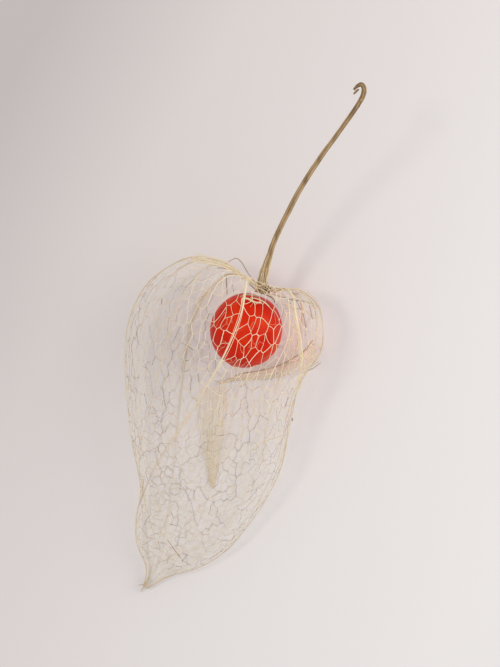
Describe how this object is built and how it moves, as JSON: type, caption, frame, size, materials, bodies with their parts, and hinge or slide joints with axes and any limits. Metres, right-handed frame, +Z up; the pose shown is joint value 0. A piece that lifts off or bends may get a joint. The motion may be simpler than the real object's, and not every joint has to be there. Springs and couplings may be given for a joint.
{
  "type": "physalis berry",
  "caption": "Dried physalis lying on its side: a smooth round berry inside a lantern weathered to a net of ribs and veins, on a thin curved stalk that ends in a small hook.",
  "frame": {"origin": "middle of the bounding box's underside, on the surface that the lantern lies on", "axes": "+Z up from the surface, +Y from the lantern's tip towards the stalk's hook, +X to the right seen from above with +Y ahead"},
  "size_m": [0.0422, 0.0884, 0.0299],
  "materials": {
    "berry": "smooth ripe skin, softly glossy",
    "calyx": "dry cream veins, matt",
    "stalk": "dry ridged stalk, matt"
  },
  "bodies": {
    "root": {"berry": "berry", "calyx": "calyx", "stalk": "stalk"}
  },
  "joints": []
}
